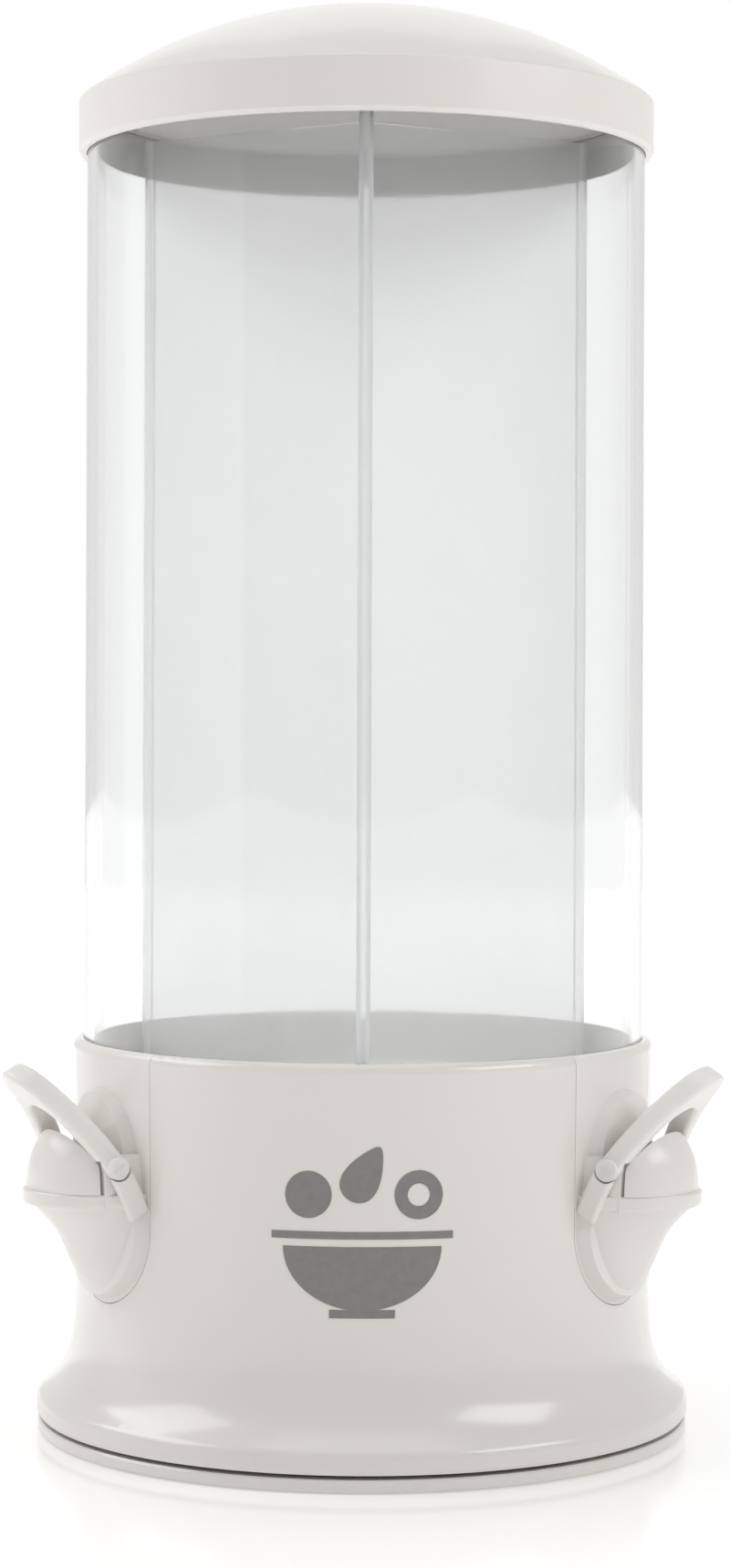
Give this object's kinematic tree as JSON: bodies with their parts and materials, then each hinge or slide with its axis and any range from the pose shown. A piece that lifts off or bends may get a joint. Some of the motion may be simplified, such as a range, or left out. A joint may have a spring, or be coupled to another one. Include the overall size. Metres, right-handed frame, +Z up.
{
  "type": "cereal dispenser",
  "caption": "Countertop dry food dispenser: clear divided canister with domed lid on a white housing with lidded spouts, lifted by ring levers, turning on a ball-bearing base.",
  "frame": {"origin": "on the floor under the base, on the turning axis", "axes": "+Z up along the turning axis; -Y is the front, between the left and right spouts"},
  "size_m": [0.1576, 0.1641, 0.3245],
  "materials": {
    "white_body": "gloss",
    "white_spout": "gloss",
    "lever_white": "slightly translucent gloss",
    "clear_tube": "clear gloss",
    "clear_divider": "clear gloss",
    "inner_plastic": "satin",
    "cage_plastic": "satin",
    "steel": "satin",
    "foot_rubber": "matt"
  },
  "bodies": {
    "base": {"base_plate": "white_body", "foot_ring": "foot_rubber", "pivot_screw": "steel", "pivot_washer": "steel"},
    "ball_cage": {"ball_cage": "cage_plastic", "bearing_balls": "steel"},
    "housing": {"housing": "white_body", "bottom_cover": "inner_plastic", "cover_screws": "steel", "hopper_floor": "inner_plastic", "canister": "clear_tube", "divider": "clear_divider", "left_spout": "white_spout", "right_spout": "white_spout", "rear_spout": "white_spout"},
    "lid": {"lid": "white_body"},
    "left_hood": {"left_hood": "white_spout", "left_lever": "lever_white", "left_hinge_pins": "steel"},
    "right_hood": {"right_hood": "white_spout", "right_lever": "lever_white", "right_hinge_pins": "steel"},
    "rear_hood": {"rear_hood": "white_spout", "rear_lever": "lever_white", "rear_hinge_pins": "steel"}
  },
  "joints": [
    {"name": "turntable_spin", "type": "hinge", "parent": "base", "child": "housing", "pos_m": [0, 0, 0.005], "axis": [0, 0, 1], "continuous": true},
    {"name": "cage_spin", "type": "hinge", "parent": "base", "child": "ball_cage", "pos_m": [0, 0, 0.0033], "axis": [0, 0, 1], "continuous": true},
    {"name": "lid_lift", "type": "slide", "parent": "housing", "child": "lid", "axis": [0, 0, 1], "range_m": [0, 0.08]},
    {"name": "left_hood_lift", "type": "hinge", "parent": "housing", "child": "left_hood", "pos_m": [-0.06114, -0.0353, 0.06475], "axis": [-0.5, 0.866, 0], "range_deg": [0, 24]},
    {"name": "right_hood_lift", "type": "hinge", "parent": "housing", "child": "right_hood", "pos_m": [0.06114, -0.0353, 0.06475], "axis": [-0.5, -0.866, 0], "range_deg": [0, 24]},
    {"name": "rear_hood_lift", "type": "hinge", "parent": "housing", "child": "rear_hood", "pos_m": [0, 0.0706, 0.06475], "axis": [1, 0, 0], "range_deg": [0, 24]}
  ],
  "couplings": [
    {"joint": "cage_spin", "follows": "turntable_spin", "ratio": 0.5}
  ]
}
